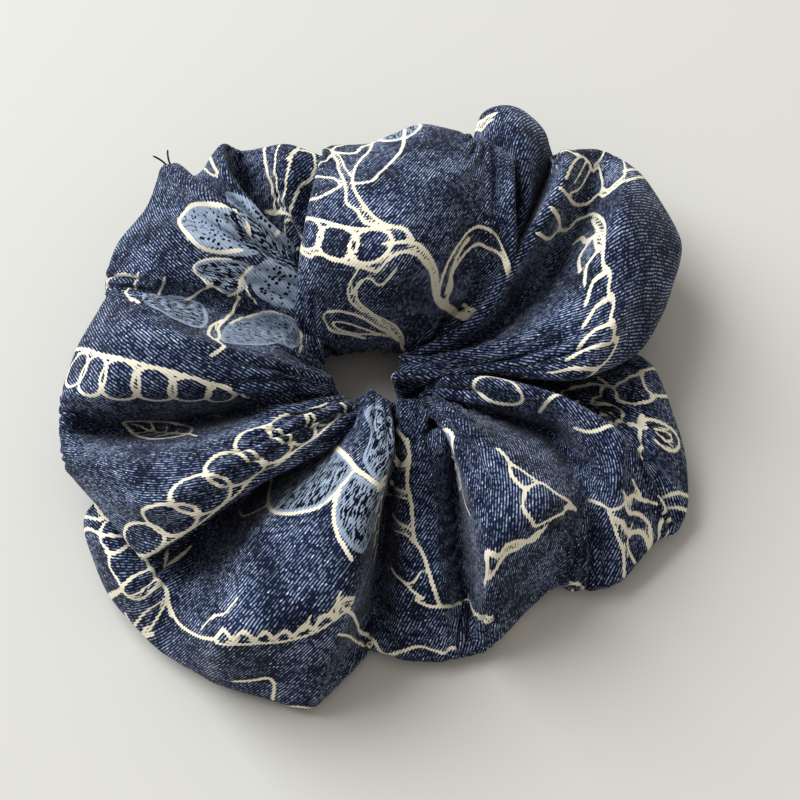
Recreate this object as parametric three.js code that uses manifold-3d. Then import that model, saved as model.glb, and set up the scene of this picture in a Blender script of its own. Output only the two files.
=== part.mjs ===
// Gathered fabric scrunchie, lying flat: a printed fabric tube sewn into a ring and crowded onto a
// short loop of flat elastic, so that it bunches into soft puffs all round.
// Millimetres, +Z up. The origin is the middle of the footprint, on the surface that it rests on.

import * as THREE from 'three';
import * as BufferGeometryUtils from 'three/addons/utils/BufferGeometryUtils.js';
import Module from 'manifold-3d';

// ---------------------------------------------------------------- driving dimensions

const ringCentre = new THREE.Vector2(0.63, 2.8);   // the middle of the hole
const holeRadius = 11.5;                      // fabric to fabric across the hole is twice this
const widestHeight = 10;                      // the tube is widest this far above the surface
const partGap = 0.3;                          // running gap between neighbouring pieces

// The puffs and the tucks between them, in order round the ring:
// [degrees round from +X, reach from the ring's centre, height of the crest]
const gathers = [
  [2, 53, 22], [20, 66, 31], [35, 69, 33], [50, 61, 26], [63, 67, 29], [77, 50, 34], [91, 46, 38],
  [105, 48, 33], [118, 54, 29], [134, 62, 27], [150, 61, 31], [167, 59, 25], [182, 63, 33],
  [198, 65, 32], [209, 62, 23], [221, 70, 28], [236, 72, 29], [249, 69, 27], [259, 66, 29],
  [267, 56, 22], [283, 60, 28], [293, 59, 27], [305, 54, 21], [317, 62, 29], [332, 68, 27],
  [347, 60, 25],
];

const seamGather = gathers.find(([degrees]) => degrees === 134);

const stationsRound = 96;                     // cross-sections round the ring
const pointsAcross = 20;                      // points round each cross-section

const elasticRadius = 18.5;                   // inner face of the elastic, relaxed
const elasticWidth = 6;
const elasticThickness = 1.2;
const elasticHeight = 8;                      // the middle of the band above the surface
const lapLength = 10;                         // how far the elastic's two ends overlap
const lapStitchLegs = 8;                      // straight legs in the lap's zigzag
const lapStitchShare = 0.7;                   // how much of the lap's length and width it covers

const channelClearance = 0.8;                 // between the elastic and the fabric round it

const seamAngle = 136;                        // where the strip's two ends are sewn together
const seamGap = 1.2;                          // room for the closing stitches
const threadDiameter = 0.5;
const longSeamRadius = 26;                    // the lengthways seam, on the underside
const longSeamGroove = 1.3;                   // width and depth of the crease that it lies in
const tailLengths = [4.5, 3.5];               // the two loose thread ends at the closing seam's tip
const tailLeans = [1.4, -0.9];                // how far each leans sideways

const farAway = 400;                          // larger than the whole part

// ---------------------------------------------------------------- small helpers

const radians = THREE.MathUtils.degToRad;

function ringPoint(angle, radius, height) {
  const x = ringCentre.x + radius * Math.cos(angle);
  const y = ringCentre.y + radius * Math.sin(angle);
  return new THREE.Vector3(x, y, height);
}

const wasm = await Module();
wasm.setup();

function toManifold(geometry) {
  const bare = geometry.clone();
  bare.deleteAttribute('normal');
  bare.deleteAttribute('uv');
  const merged = BufferGeometryUtils.mergeVertices(bare, 1e-4);
  return new wasm.Manifold(new wasm.Mesh({
    numProp: 3,
    vertProperties: new Float32Array(merged.attributes.position.array),
    triVerts: new Uint32Array(merged.index.array),
  }));
}

function toGeometry(solid) {
  const mesh = solid.getMesh();
  const geometry = new THREE.BufferGeometry();
  geometry.setAttribute('position', new THREE.BufferAttribute(mesh.vertProperties, 3));
  geometry.setIndex(new THREE.BufferAttribute(mesh.triVerts, 1));
  geometry.computeVertexNormals();
  return geometry;
}

// A tube of round section along a curve.
function tube(curve, diameter, steps, sides = 8) {
  const section = new THREE.Shape();
  for (let side = 0; side < sides; side += 1) {
    const turn = (side / sides) * Math.PI * 2;
    const x = (Math.cos(turn) * diameter) / 2;
    const y = (Math.sin(turn) * diameter) / 2;
    if (side === 0) section.moveTo(x, y);
    else section.lineTo(x, y);
  }
  section.closePath();
  return new THREE.ExtrudeGeometry(section, { steps, bevelEnabled: false, extrudePath: curve });
}

// A flat wedge-shaped cutter seen in plan: everything on the given side of a line through a point.
function halfSpace(point, direction) {
  const box = new THREE.BoxGeometry(farAway, farAway, farAway);
  box.translate(0, farAway / 2, 0);
  box.rotateZ(direction);
  box.translate(point.x, point.y, 0);
  return toManifold(box);
}

// ---------------------------------------------------------------- the gathered cover

const rimCurve = new THREE.CatmullRomCurve3(
  gathers.map(([degrees, reach, crest]) => ringPoint(radians(degrees), reach, crest)),
  true,
);

// One point on the cover's skin. The section starts at the hole, goes over the crest to the rim
// and comes back underneath, where it is pressed flat. An inset moves the point inwards.
function skinPoint(angle, reach, crest, turn, inset = 0) {
  const middle = (holeRadius + reach) / 2;
  const halfWidth = (reach - holeRadius) / 2 - inset;
  const radius = middle - halfWidth * Math.cos(turn);
  const rise = Math.sin(turn);
  const top = widestHeight + (crest - widestHeight - inset) * Math.sqrt(Math.max(0, rise));
  const underside = Math.max(inset, widestHeight * (1 + 1.7 * Math.min(0, rise)));
  return ringPoint(angle, radius, rise > 0 ? top : underside);
}

function coverSolid() {
  const positions = [];
  for (let station = 0; station < stationsRound; station += 1) {
    const rim = rimCurve.getPoint(station / stationsRound);
    const angle = Math.atan2(rim.y - ringCentre.y, rim.x - ringCentre.x);
    const reach = Math.hypot(rim.y - ringCentre.y, rim.x - ringCentre.x);
    for (let step = 0; step < pointsAcross; step += 1) {
      const point = skinPoint(angle, reach, rim.z, (step / pointsAcross) * Math.PI * 2);
      positions.push(point.x, point.y, point.z);
    }
  }
  const indices = [];
  for (let station = 0; station < stationsRound; station += 1) {
    const here = station * pointsAcross;
    const next = ((station + 1) % stationsRound) * pointsAcross;
    for (let step = 0; step < pointsAcross; step += 1) {
      const over = (step + 1) % pointsAcross;
      indices.push(here + step, next + over, next + step);
      indices.push(here + step, here + over, next + over);
    }
  }
  const geometry = new THREE.BufferGeometry();
  geometry.setAttribute('position', new THREE.Float32BufferAttribute(positions, 3));
  geometry.setIndex(indices);
  return toManifold(geometry);
}

// A ring of rectangular section round the hole.
function squareRing(innerRadius, outerRadius, low, high) {
  const profile = [
    new THREE.Vector2(innerRadius, low),
    new THREE.Vector2(outerRadius, low),
    new THREE.Vector2(outerRadius, high),
    new THREE.Vector2(innerRadius, high),
    new THREE.Vector2(innerRadius, low),
  ];
  const ring = new THREE.LatheGeometry(profile, 48);
  ring.rotateX(Math.PI / 2);
  ring.translate(ringCentre.x, ringCentre.y, 0);
  return toManifold(ring);
}

const channel = squareRing(
  elasticRadius - channelClearance,
  elasticRadius + 2 * elasticThickness + partGap + channelClearance,
  elasticHeight - elasticWidth / 2 - channelClearance,
  elasticHeight + elasticWidth / 2 + channelClearance,
);

const longSeamCrease = squareRing(
  longSeamRadius - longSeamGroove / 2,
  longSeamRadius + longSeamGroove / 2,
  -1,
  longSeamGroove,
);

const wholeCover = coverSolid().subtract(channel).subtract(longSeamCrease);

const rightSide = halfSpace(new THREE.Vector2(ringCentre.x + partGap / 2, 0), -Math.PI / 2);
const leftSide = halfSpace(new THREE.Vector2(ringCentre.x - partGap / 2, 0), Math.PI / 2);

// The two sides of the closing seam, each set back from it by half of its gap.
const seamAcross = new THREE.Vector2(
  -Math.sin(radians(seamAngle)),
  Math.cos(radians(seamAngle)),
).multiplyScalar(seamGap / 2);
const beyondSeam = halfSpace(ringCentre.clone().add(seamAcross), radians(seamAngle));
const beforeSeam = halfSpace(ringCentre.clone().sub(seamAcross), radians(seamAngle + 180));

const coverRight = wholeCover.intersect(rightSide);
const coverLeftUpper = wholeCover.intersect(leftSide).intersect(beforeSeam);
const coverLeftLower = wholeCover.intersect(leftSide).intersect(beyondSeam);

// ---------------------------------------------------------------- the elastic inside it

const halfLapDegrees = (lapLength / 2 / elasticRadius) * (180 / Math.PI);

// A flat band standing on edge, from one angle to another. Its inner face starts and ends at the
// two given radii, and moves from one to the other over the last part of its length.
function elasticBand(startDegrees, endDegrees, mainRadius, endRadius) {
  const steps = Math.ceil(Math.abs(endDegrees - startDegrees) / 5);
  const rampDegrees = 22;
  const inner = [];
  const outer = [];
  for (let step = 0; step <= steps; step += 1) {
    const degrees = startDegrees + ((endDegrees - startDegrees) * step) / steps;
    const beforeLap = Math.abs(endDegrees - degrees) - 2 * halfLapDegrees;
    const moved = 1 - THREE.MathUtils.smoothstep(beforeLap, 0, rampDegrees);
    const radius = mainRadius + (endRadius - mainRadius) * moved;
    inner.push(ringPoint(radians(degrees), radius, 0));
    outer.push(ringPoint(radians(degrees), radius + elasticThickness, 0));
  }
  const outline = [...outer, ...inner.reverse()].map((point) => new THREE.Vector2(point.x, point.y));
  const band = new THREE.ExtrudeGeometry(new THREE.Shape(outline), {
    depth: elasticWidth,
    bevelEnabled: false,
  });
  band.translate(0, 0, elasticHeight - elasticWidth / 2);
  return band;
}

const cutDegrees = (partGap / 2 / elasticRadius) * (180 / Math.PI);   // the middle gap, as an angle
const underLap = elasticRadius;                                       // the end that lies inside
const overLap = elasticRadius + elasticThickness + partGap;           // the end that lies outside

const elasticRight = elasticBand(-90 + cutDegrees, 90 - cutDegrees, underLap, underLap);
const elasticLeftUpper = elasticBand(90 + cutDegrees, seamAngle + halfLapDegrees, underLap, overLap);
const elasticLeftLower = elasticBand(270 - cutDegrees, seamAngle - halfLapDegrees, underLap, underLap);

// The zigzag that sews the lap: the needle thread lies on its outer face, the bobbin thread inside.
function lapZigzag(radius) {
  const points = [];
  for (let leg = 0; leg <= lapStitchLegs; leg += 1) {
    const along = (leg / lapStitchLegs) * 2 - 1;
    const degrees = seamAngle + along * halfLapDegrees * lapStitchShare;
    const side = leg % 2 === 0 ? -1 : 1;
    const height = elasticHeight + (side * elasticWidth * lapStitchShare) / 2;
    points.push(ringPoint(radians(degrees), radius, height));
  }
  const path = new THREE.CatmullRomCurve3(points, false, 'catmullrom', 0.15);
  return tube(path, threadDiameter, lapStitchLegs * 4, 6);
}

const threadOffset = threadDiameter / 2 + partGap / 2;                // thread's middle to the elastic
const needleRadius = overLap + elasticThickness + threadOffset;
const bobbinRadius = underLap - threadOffset;

// ---------------------------------------------------------------- the sewing threads

// The lengthways seam's thread, lying in its crease between two angles.
function longSeamThread(startDegrees, endDegrees) {
  const steps = Math.ceil(Math.abs(endDegrees - startDegrees) / 5);
  const points = [];
  for (let step = 0; step <= steps; step += 1) {
    const degrees = startDegrees + ((endDegrees - startDegrees) * step) / steps;
    points.push(ringPoint(radians(degrees), longSeamRadius, longSeamGroove / 2));
  }
  return tube(new THREE.CatmullRomCurve3(points), threadDiameter, steps, 6);
}

const seamMarginDegrees = ((seamGap / 2 + partGap) / longSeamRadius) * (180 / Math.PI);
const middleMarginDegrees = (partGap / 2 / longSeamRadius) * (180 / Math.PI);
const longSeamRight = longSeamThread(-90 + middleMarginDegrees, 90 - middleMarginDegrees);
const longSeamLeftUpper = longSeamThread(90 + middleMarginDegrees, seamAngle - seamMarginDegrees);
const longSeamLeftLower = longSeamThread(seamAngle + seamMarginDegrees, 270 - middleMarginDegrees);

// The closing seam's thread runs once round the cross-section, between the strip's two ends. It
// starts and ends underneath, where its two cut ends almost meet.
function closingSeamThread() {
  const [, reach, crest] = seamGather;
  const inset = 0.6;
  const steps = 36;
  const endGap = 0.06;
  const startTurn = Math.PI * 1.5 + endGap;
  const wholeTurn = Math.PI * 2 - 2 * endGap;
  const points = [];
  for (let step = 0; step <= steps; step += 1) {
    const turn = (startTurn + (step / steps) * wholeTurn) % (Math.PI * 2);
    points.push(skinPoint(radians(seamAngle), reach, crest, turn, inset));
  }
  return tube(new THREE.CatmullRomCurve3(points), threadDiameter, steps * 2, 6);
}

// A loose thread end standing up and out of the closing seam's tip, leaning to one side.
function threadTail(length, lean) {
  const outward = new THREE.Vector3(Math.cos(radians(seamAngle)), Math.sin(radians(seamAngle)), 0);
  const sideways = new THREE.Vector3(-outward.y, outward.x, 0);
  const tip = ringPoint(radians(seamAngle), seamGather[1] + partGap, widestHeight + 5);
  const path = [0, 0.5, 1].map((share) => {
    const point = tip.clone().addScaledVector(outward, length * 0.5 * share);
    point.addScaledVector(sideways, Math.sign(lean) * threadDiameter + lean * share * share);
    point.z += length * 0.9 * share;
    return point;
  });
  return tube(new THREE.CatmullRomCurve3(path), threadDiameter, 6, 6);
}

// ---------------------------------------------------------------- the assembly

const fabric = new THREE.MeshStandardMaterial({ color: 0x2b3a58, roughness: 0.9, metalness: 0 });
const rubber = new THREE.MeshStandardMaterial({ color: 0xe9e6df, roughness: 0.85, metalness: 0 });
const thread = new THREE.MeshStandardMaterial({ color: 0x1d2940, roughness: 0.8, metalness: 0 });

const scrunchie = new THREE.Group();

function addPiece(name, geometry, material) {
  const mesh = new THREE.Mesh(geometry, material);
  mesh.name = name;
  scrunchie.add(mesh);
}

// The ring is one loop, so it is parted across the middle into a right and a left side that the
// elastic's stretch draws apart along X. The left side is divided again at the closing seam.
addPiece('cover_right', toGeometry(coverRight), fabric);
addPiece('cover_left_upper', toGeometry(coverLeftUpper), fabric);
addPiece('cover_left_lower', toGeometry(coverLeftLower), fabric);
addPiece('elastic_right', elasticRight, rubber);
addPiece('elastic_left_upper', elasticLeftUpper, rubber);
addPiece('elastic_left_lower', elasticLeftLower, rubber);
addPiece('elastic_lap_needle_thread', lapZigzag(needleRadius), thread);
addPiece('elastic_lap_bobbin_thread', lapZigzag(bobbinRadius), thread);
addPiece('long_seam_thread_right', longSeamRight, thread);
addPiece('long_seam_thread_left_upper', longSeamLeftUpper, thread);
addPiece('long_seam_thread_left_lower', longSeamLeftLower, thread);
addPiece('closing_seam_thread', closingSeamThread(), thread);
tailLengths.forEach((length, index) => {
  addPiece(`thread_tail_${index + 1}`, threadTail(length, tailLeans[index]), thread);
});

export default scrunchie;
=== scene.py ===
"""Gathered fabric scrunchie lying on a pale surface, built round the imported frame. Metres."""

import math

import bpy
import numpy as np
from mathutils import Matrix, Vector


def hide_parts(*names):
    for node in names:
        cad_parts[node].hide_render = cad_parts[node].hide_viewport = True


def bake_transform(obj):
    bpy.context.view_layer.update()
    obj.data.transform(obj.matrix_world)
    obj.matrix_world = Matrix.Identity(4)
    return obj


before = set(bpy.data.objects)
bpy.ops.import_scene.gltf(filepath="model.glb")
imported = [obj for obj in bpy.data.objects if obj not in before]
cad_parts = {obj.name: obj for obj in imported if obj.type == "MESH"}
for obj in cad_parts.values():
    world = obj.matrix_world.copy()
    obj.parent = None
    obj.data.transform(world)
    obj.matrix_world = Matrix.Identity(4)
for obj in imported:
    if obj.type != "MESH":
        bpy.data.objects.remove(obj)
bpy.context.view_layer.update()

MM = 0.001

# ------------------------------------------------------------------ the cover's shape

# Lines over the gathered tube from the hole to the rim, clockwise as seen from above, in
# millimetres: how far along the flat strip the line is, then the hole's edge, two points up
# and over the top, the outer top, and the rim.
RIBS = [
    ("under T", 0, (-10, 10, 6), (-14, 15, 12), (-15, 26, 14), (-13, 38, 18), (-11, 47, 20)),
    ("T left edge", 12, (-9, 10, 7), (-16, 9, 19), (-16, 19, 29), (-14, 30, 32), (-11, 48, 24)),
    ("T left", 24, (-6, 10, 6), (-10, 7, 15), (-7, 12, 36), (-4, 29, 37), (-2, 48, 25)),
    ("T middle", 34, (-1, 10, 6), (-1, 7, 15), (3, 10, 38), (7, 29, 38), (8, 52, 27)),
    ("T right", 44, (4, 9, 6), (7, 9, 13), (12, 15, 34), (16, 32, 35), (17, 50, 26)),
    ("T pocket", 56, (7, 7, 6), (11, 11, 11), (18, 16, 16), (22, 26, 29), (22, 47, 26)),
    ("T right edge", 64, (8, 6, 6), (17, 12, 14), (26, 19, 25), (26, 32, 30), (26, 45, 24)),
    ("T right undercut", 81, (9, 6, 5), (14, 12, 8), (19, 24, 10), (20, 36, 12), (19, 47, 12)),
    ("back puff left", 97, (10, 6, 6), (20, 19, 9), (28, 35, 16), (24, 49, 22), (21, 62, 18)),
    ("back puff", 104, (11, 5, 6), (22, 19, 10), (30, 37, 20), (29, 49, 25), (28, 65, 18)),
    ("back puff right", 110, (11, 5, 6), (23, 19, 9), (31, 39, 16), (34, 49, 20), (35, 60, 15)),
    ("back tuck", 116, (11, 4, 6), (22, 18, 8), (31, 38, 12), (35, 48, 13), (36, 54, 12)),
    ("R1 roll", 133, (4, 4, 11), (18, 9, 18), (30, 24, 28), (36, 36, 28), (39, 50, 20)),
    ("R1 hollow", 144, (4, 4, 11), (21, 8, 12), (35, 27, 11), (43, 38, 18), (47, 53, 17)),
    ("R1 crease", 159, (3, 2, 13), (23, 2, 20), (39, 10, 27), (47, 27, 30), (55, 47, 17)),
    ("R1 outer", 172, (3, 0, 13), (26, -2, 21), (43, 0, 29), (54, 19, 25), (63, 32, 14)),
    ("R1 lower edge", 185, (2, 0, 12), (23, -2, 19), (38, -7, 24), (51, 2, 19), (59, 21, 12)),
    ("R1 undercut", 204, (4, -1, 6), (15, 3, 5), (28, 6, 3), (41, 8, 4), (51, 9, 7)),
    ("R2 upper", 214, (5, -2, 6), (18, 1, 4), (33, 2, 3), (50, 0, 12), (55, 4, 9)),
    ("R2 middle", 227, (6, -3, 7), (19, -1, 5), (42, -3, 6), (52, -13, 14), (60, -13, 7)),
    ("R2 lower", 237, (7, -4, 8), (20, -4, 9), (43, -10, 10), (53, -22, 12), (60, -26, 5)),
    ("R2 tuck", 240, (7, -4, 9), (21, -4, 11), (43, -10, 12), (52, -24, 10), (58, -29, 3)),
    ("front roll", 252, (10, -2, 13), (21, -5, 20), (34, -10, 22), (46, -18, 21), (53, -32, 6)),
    ("front roll lower", 259, (10, -4, 12), (21, -8, 17), (34, -12, 17), (44, -25, 19), (46, -40, 4)),
    ("BR hollow", 268, (10, -3, 8), (21, -7, 10), (34, -10, 6), (39, -26, 14), (40, -41, 3)),
    ("BR crest", 283, (10, -5, 12), (14, -12, 20), (24, -24, 26), (32, -33, 25), (34, -40, 4)),
    ("BR face", 292, (9, -5, 12), (13, -14, 21), (19, -28, 26), (23, -40, 27), (28, -45, 4)),
    ("BR left edge", 298, (9, -5, 12), (13, -16, 20), (16, -29, 24), (19, -44, 24), (22, -52, 4)),
    ("BR undercut", 314, (6, -7, 6), (13, -7, 3), (15, -20, 2), (16, -36, 4), (17, -54, 3)),
    ("B2 right", 327, (7, -5, 10), (9, -14, 12), (10, -30, 12), (11, -45, 13), (12, -55, 3)),
    ("B2 left", 334, (4, -5, 11), (4, -14, 13), (4, -31, 12), (4, -47, 12), (5, -55, 3)),
    ("B2 tuck", 344, (2, -3, 6), (2, -13, 2), (0, -29, 2), (-1, -42, 4), (-2, -53, 3)),
    ("BL1 right edge", 364, (0, -5, 13), (2, -21, 23), (-2, -37, 27), (-5, -52, 25), (-13, -65, 2)),
    ("BL1 face", 374, (-2, -4, 14), (-3, -17, 22), (-10, -35, 27), (-16, -56, 25), (-22, -63, 3)),
    ("BL1 left", 385, (-5, -4, 10), (-10, -18, 15), (-22, -35, 20), (-27, -58, 23), (-31, -60, 3)),
    ("L3 valley", 400, (-6, -4, 7), (-14, -13, 8), (-29, -27, 6), (-37, -46, 11), (-41, -54, 3)),
    ("L2 left", 412, (-6, -6, 6), (-16, -11, 6), (-38, -32, 8), (-46, -45, 13), (-52, -43, 4)),
    ("L2 corner", 423, (-7, -5, 6), (-17, -10, 6), (-42, -29, 8), (-52, -33, 12), (-58, -28, 6)),
    ("L1 undercut", 434, (-8, -4, 6), (-19, -7, 9), (-35, -20, 6), (-47, -22, 7), (-53, -25, 8)),
    ("L1 lower edge", 457, (-3, -9, 13), (-10, -18, 19), (-21, -27, 23), (-33, -37, 24), (-44, -40, 16)),
    ("L1 face", 468, (-5, -8, 15), (-15, -18, 24), (-28, -29, 30), (-40, -36, 29), (-54, -28, 14)),
    ("L1 upper", 479, (-6, -7, 15), (-17, -15, 24), (-32, -22, 27), (-46, -26, 27), (-61, -20, 13)),
    ("dent", 498, (-9, -4, 12), (-20, -9, 18), (-39, -6, 4), (-54, -9, 5), (-63, -11, 12)),
    ("L0 lower", 513, (-9, -4, 14), (-19, -8, 24), (-35, -11, 26), (-51, -10, 25), (-63, -4, 13)),
    ("L0 upper", 524, (-10, -2, 14), (-19, -5, 26), (-35, -3, 31), (-49, 2, 28), (-61, 7, 13)),
    ("L0 upper edge", 532, (-11, 0, 12), (-19, 1, 21), (-35, 2, 27), (-46, 9, 25), (-56, 17, 14)),
    ("petal tuck", 545, (-12, 3, 10), (-19, 8, 16), (-33, 13, 18), (-47, 17, 17), (-56, 20, 13)),
    ("UL1 lower edge", 553, (-13, 5, 11), (-16, 11, 19), (-28, 14, 23), (-44, 18, 22), (-56, 24, 14)),
    ("UL1 face", 562, (-12, 5, 12), (-16, 16, 22), (-29, 19, 29), (-42, 25, 27), (-55, 32, 13)),
    ("UL1 hollow", 570, (-13, 6, 12), (-17, 18, 22), (-31, 24, 27), (-40, 32, 22), (-49, 41, 13)),
    ("UL1 seam", 578, (-13, 6, 12), (-18, 20, 23), (-28, 26, 30), (-37, 35, 28), (-46, 50, 18)),
    ("UL1 seam notch", 585, (-13, 6, 12), (-18, 22, 22), (-26, 29, 26), (-35, 39, 20), (-40, 48, 12)),
    ("UL1 back edge", 592, (-13, 7, 11), (-17, 22, 20), (-24, 28, 27), (-32, 40, 27), (-34, 51, 20)),
    ("UL1 undercut", 607, (-14, 9, 8), (-18, 22, 12), (-27, 37, 10), (-31, 48, 12), (-30, 54, 14)),
    ("UL2", 620, (-14, 9, 8), (-17, 22, 13), (-20, 36, 18), (-20, 43, 23), (-20, 51, 20)),
]

STRIP_LENGTH = 630.5        # once round the flat cloth, mm
TUBE_GIRTH = 130.0          # round the tube, mm
HOLE_MIDDLE = (0.6, 2.8)


def closed_sections():
    """The ribs with their undersides, as an array of ribs x 8 points x 3."""
    ribs = np.array([row[2:] for row in RIBS], float)
    hole, inner, crest, outer, rim = ribs.transpose(1, 0, 2)
    middle = np.array(HOLE_MIDDLE)
    angle = np.unwrap(np.arctan2(rim[:, 1] - middle[1], rim[:, 0] - middle[0]))
    reach = np.hypot(rim[:, 1] - middle[1], rim[:, 0] - middle[0])

    def smooth(values, rounds=4):
        for _ in range(rounds):
            values = (np.roll(values, 1) + 2 * values + np.roll(values, -1)) / 4
        return values
    turns = np.arange(len(angle)) * (-2 * np.pi / len(angle))
    angle = smooth(angle - turns, 3) + turns
    reach = smooth(reach, 2)

    def under(share, height):
        radius = 9 + (reach - 9) * share
        return np.stack([
            middle[0] + radius * np.cos(angle),
            middle[1] + radius * np.sin(angle),
            np.full(len(angle), height),
        ], axis=1)
    return np.stack([hole, inner, crest, outer, rim, under(0.86, 1.2), under(0.5, 0.6), under(0.14, 1.5)], axis=1)


def periodic_spline(points, where, crisp=0.0):
    """Catmull-Rom through points along axis 0, which closes on itself; where is in index units.
    crisp mixes in straight lines between the points, from 0, none, to 1."""
    n = len(points)
    base = np.floor(where).astype(int)
    t = (where - base).reshape((-1,) + (1,) * (points.ndim - 1))
    p0, p1, p2, p3 = (points[(base + k) % n] for k in (-1, 0, 1, 2))
    curved = 0.5 * (2 * p1 + (p2 - p0) * t + (2 * p0 - 5 * p1 + 4 * p2 - p3) * t ** 2
                    + (3 * p1 - p0 - 3 * p2 + p3) * t ** 3)
    return curved * (1 - crisp) + (p1 + (p2 - p1) * t) * crisp


def spread(lengths, count):
    """Index positions, equally far apart along steps of the given lengths."""
    total = np.concatenate([[0], np.cumsum(lengths)])
    at = np.arange(count) * total[-1] / count
    return np.interp(at, total, np.arange(len(lengths) + 1))


def loft(round_count, across_count):
    """The tube as a grid of points, evenly spread over the flat cloth."""
    places = np.array([row[1] for row in RIBS] + [STRIP_LENGTH], float)
    rings = periodic_spline(closed_sections(), spread(np.diff(places), round_count), 0.6)
    fine = periodic_spline(rings.transpose(1, 0, 2), np.arange(0, 8, 0.125), 0.5).transpose(1, 0, 2)
    result = np.empty((round_count, across_count, 3))
    for i in range(round_count):
        lengths = np.linalg.norm(np.roll(fine[i], -1, axis=0) - fine[i], axis=1)
        result[i] = periodic_spline(fine[i], spread(lengths, across_count))
    return result


def grid_mesh(name, points, material):
    """A closed tube mesh from a periodic grid of points in millimetres."""
    n_round, n_across = points.shape[:2]
    index = np.arange(n_round * n_across).reshape(n_round, n_across)
    over = np.roll(index, -1, axis=1)
    ahead = np.roll(index, -1, axis=0)
    both = np.roll(over, -1, axis=0)
    faces = np.stack([index, over, both, ahead], axis=2).reshape(-1, 4)
    mesh = bpy.data.meshes.new(name)
    mesh.from_pydata((points.reshape(-1, 3) * MM).tolist(), [], faces.tolist())
    mesh.polygons.foreach_set("use_smooth", np.ones(len(faces), bool))
    mesh.materials.append(material)
    mesh.update()
    obj = bpy.data.objects.new(name, mesh)
    bpy.context.scene.collection.objects.link(obj)
    return obj


# ------------------------------------------------------------------ the print

# Places on the flat cloth are (along, across) in millimetres: along the strip, and across it
# from the hole's edge, 0, over the top to the rim, about 62, and back under to the hole.

INK_REACH = 3.0             # distances to the printed lines are kept up to this far, mm
FINE = 0.25                 # half widths of the printed lines, mm
PLAIN = 0.36
BOLD = 0.47
BROAD = 0.74


class PrintedCloth:
    """Distances to the printed lines and petals, on a grid over the whole flat strip."""

    def __init__(self, shape, strip, girth):
        self.shape = shape
        self.step = np.array([strip / shape[0], girth / shape[1]])
        self.near = np.full(shape, INK_REACH)       # to a line's edge
        self.side = np.full(shape, INK_REACH)       # to its middle, with a sign for the side
        self.width = np.full(shape, PLAIN)          # that line's half width
        self.petal = np.full(shape, -INK_REACH)     # inwards from a petal's edge
        self.spotted = np.zeros(shape)              # 1 where the petal has specks, 0 dashes

    def window(self, points):
        low = np.floor((points.min(axis=0) - INK_REACH) / self.step).astype(int)
        high = np.ceil((points.max(axis=0) + INK_REACH) / self.step).astype(int)
        i = np.arange(low[0], high[0] + 1)
        j = np.arange(low[1], high[1] + 1)
        u, v = np.meshgrid(i * self.step[0], j * self.step[1], indexing="ij")
        return np.ix_(i % self.shape[0], j % self.shape[1]), u, v

    def line(self, width, *points, closed=False):
        path = curve(np.array(points, float), closed)
        cells, u, v = self.window(path)
        distance, side = distance_to(path, u, v)
        better = distance - width < self.near[cells]
        self.near[cells] = np.where(better, distance - width, self.near[cells])
        self.side[cells] = np.where(better, distance * side, self.side[cells])
        self.width[cells] = np.where(better, width, self.width[cells])

    def ring(self, middle, along, across, width=PLAIN):
        turn = np.arange(10) * (2 * math.pi / 10)
        self.line(width, *np.stack([middle[0] + along * np.cos(turn), middle[1] + across * np.sin(turn)], axis=1),
                  closed=True)

    def fill(self, *points, spotted=0.0):
        path = curve(np.array(points, float), True)
        cells, u, v = self.window(path)
        distance, _ = distance_to(path, u, v)
        inside = np.zeros(u.shape, bool)
        for (u0, v0), (u1, v1) in zip(path[:-1], path[1:]):
            crosses = (v0 > v) != (v1 > v)
            inside ^= crosses & (u < u0 + (v - v0) / ((v1 - v0) or 1e-9) * (u1 - u0))
        depth = np.clip(np.where(inside, distance, -distance), -INK_REACH, INK_REACH)
        better = depth > self.petal[cells]
        self.petal[cells] = np.where(better, depth, self.petal[cells])
        self.spotted[cells] = np.where(better & inside, spotted, self.spotted[cells])


def curve(points, closed):
    """A smooth path through the points, four steps to each."""
    if closed:
        ahead = np.concatenate([points[-1:], points, points[:2]])
    else:
        ahead = np.concatenate([points[:1], points, points[-1:]])
    p0, p1, p2, p3 = ahead[:-3], ahead[1:-2], ahead[2:-1], ahead[3:]
    steps = []
    for t in (0, 0.25, 0.5, 0.75):
        steps.append(0.5 * (2 * p1 + (p2 - p0) * t + (2 * p0 - 5 * p1 + 4 * p2 - p3) * t ** 2
                            + (3 * p1 - p0 - 3 * p2 + p3) * t ** 3))
    path = np.stack(steps, axis=1).reshape(-1, 2)
    return np.concatenate([path, path[:1] if closed else points[-1:]])


def distance_to(path, u, v):
    """Distance to a path at each place, and the side of it that the place is on, -1 or 1."""
    best = np.full(u.shape, 1e9)
    side = np.ones(u.shape)
    for (u0, v0), (u1, v1) in zip(path[:-1], path[1:]):
        du, dv = u1 - u0, v1 - v0
        t = np.clip(((u - u0) * du + (v - v0) * dv) / (du * du + dv * dv + 1e-9), 0, 1)
        distance = np.hypot(u - u0 - t * du, v - v0 - t * dv)
        nearer = distance < best
        best = np.where(nearer, distance, best)
        side = np.where(nearer, np.where(du * (v - v0) - dv * (u - u0) < 0, -1.0, 1.0), side)
    return best, side


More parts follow.
